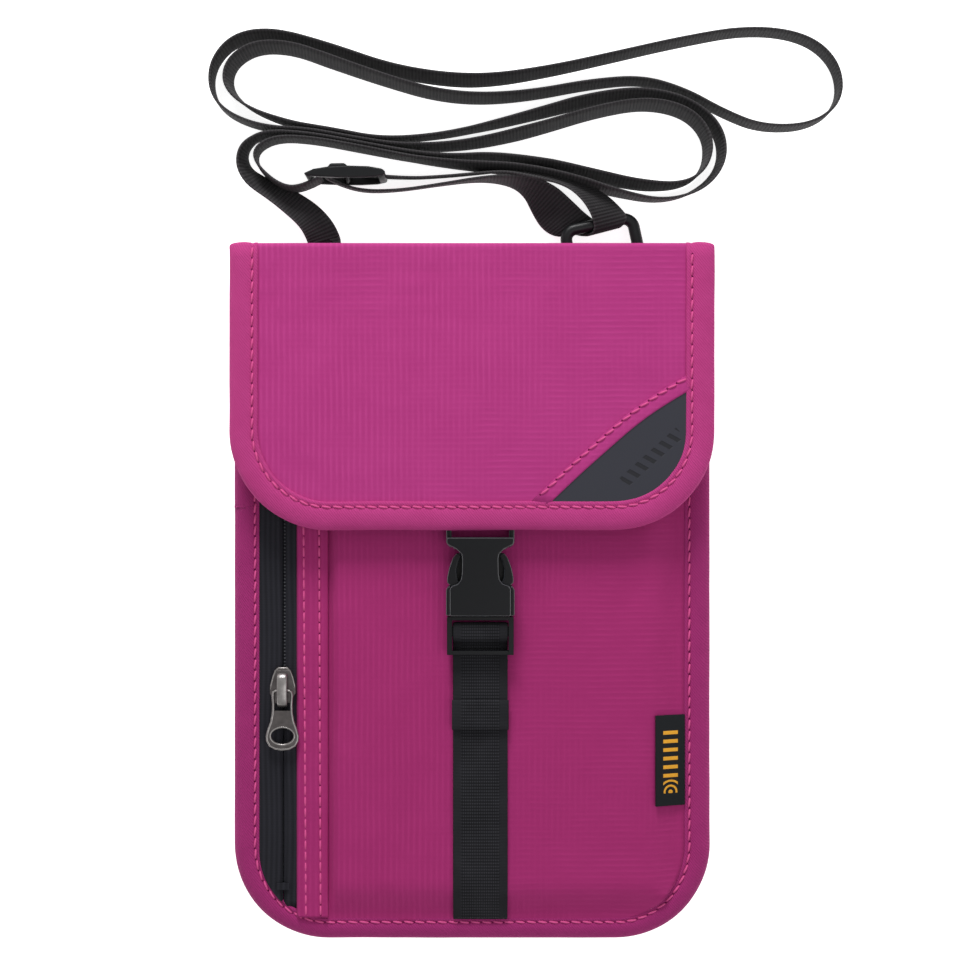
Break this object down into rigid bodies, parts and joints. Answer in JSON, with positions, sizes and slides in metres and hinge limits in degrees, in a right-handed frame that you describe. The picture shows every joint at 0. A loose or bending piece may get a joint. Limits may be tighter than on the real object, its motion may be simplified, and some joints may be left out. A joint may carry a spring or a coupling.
{
  "type": "neck pouch wallet",
  "caption": "Flat fabric neck pouch with a buckled cover flap, zipped front pocket, webbing closure, metal zip pull, side ring and a long flat neck strap with a slide adjuster",
  "frame": {"origin": "on the back face of the pouch, at mid width, the point at which it rests on a table", "axes": "+X to the wearer's left as seen from the front (right in front view), +Y towards the flap's fold at the top, +Z out of the front"},
  "size_m": [0.1918, 0.2774, 0.0156],
  "materials": {
    "body_cloth": "fine ripstop weave, slight sheen",
    "flap_cloth": "fine ripstop weave, slight sheen",
    "binding_twill": "fine diagonal twill",
    "lining_cloth": "plain dark lining",
    "shield_film": "metallised film",
    "zip_tape": "woven zip tape",
    "zip_coil": "nylon coil",
    "label_weave": "dense woven label",
    "patch_rubber": "smooth matt",
    "buckle_webbing": "basket woven webbing",
    "buckle_plastic": "satin moulded plastic",
    "zip_metal": "antique nickel",
    "ring_plastic": "satin moulded plastic",
    "strap_cloth": "ribbed flat webbing"
  },
  "bodies": {
    "pouch": {"back_panel": "body_cloth", "back_shield_film": "shield_film", "back_lining": "lining_cloth", "pocket_divider": "lining_cloth", "front_panel": "body_cloth", "front_shield_film": "shield_film", "mouth_hem": "body_cloth", "body_binding": "binding_twill", "zip_tape_left": "zip_tape", "zip_tape_right": "zip_tape", "zip_coil_left": "zip_coil", "zip_coil_right": "zip_coil", "zip_stop_top": "zip_coil", "zip_stop_bottom": "zip_coil", "guard_strip": "body_cloth", "woven_label": "label_weave", "flap_fold": "flap_cloth", "buckle_webbing": "buckle_webbing", "webbing_hem": "buckle_webbing", "ring_tab": "buckle_webbing", "strap_anchor": "strap_cloth", "neck_strap": "strap_cloth", "strap_return": "strap_cloth", "strap_adjuster": "ring_plastic"},
    "flap": {"flap_panel": "flap_cloth", "flap_lining": "lining_cloth", "flap_binding": "binding_twill", "corner_patch": "patch_rubber", "buckle_tab": "buckle_webbing", "buckle_socket": "buckle_plastic"},
    "plug": {"buckle_plug": "buckle_plastic"},
    "arm_left": {"plug_arm_left": "buckle_plastic"},
    "arm_right": {"plug_arm_right": "buckle_plastic"},
    "slider": {"zip_slider": "zip_metal", "zip_bridge": "zip_metal"},
    "pull": {"zip_pull": "zip_metal"},
    "ring": {"d_ring": "ring_plastic"}
  },
  "joints": [
    {"name": "flap_hinge", "type": "hinge", "parent": "pouch", "child": "flap", "pos_m": [0, 0.1039, 0.0132], "axis": [-1, 0, 0], "range_deg": [0, 165], "deforming": ["flap_fold"]},
    {"name": "plug_slide", "type": "slide", "parent": "pouch", "child": "plug", "axis": [0, -1, 0], "range_m": [0, 0.02], "deforming": ["buckle_webbing", "webbing_hem"]},
    {"name": "arm_left_squeeze", "type": "hinge", "parent": "plug", "child": "arm_left", "pos_m": [-0.0038, -0.0052, 0.0123], "axis": [0, 0, -1], "range_deg": [0, 7], "stiffness_Nm_per_rad": 0.12},
    {"name": "arm_right_squeeze", "type": "hinge", "parent": "plug", "child": "arm_right", "pos_m": [0.0088, -0.0052, 0.0123], "axis": [0, 0, 1], "range_deg": [0, 7], "stiffness_Nm_per_rad": 0.12},
    {"name": "zip_travel", "type": "slide", "parent": "pouch", "child": "slider", "axis": [0, 1, 0], "range_m": [-0.054, 0.115]},
    {"name": "pull_flip", "type": "hinge", "parent": "slider", "child": "pull", "pos_m": [-0.0575, -0.0296, 0.0077], "axis": [-1, 0, 0], "range_deg": [0, 180]},
    {"name": "ring_swing", "type": "hinge", "parent": "pouch", "child": "ring", "pos_m": [0.0407, 0.1016, 0.0047], "axis": [0.9781, 0.2079, 0], "range_deg": [-8, 16], "deforming": ["strap_return"]}
  ]
}
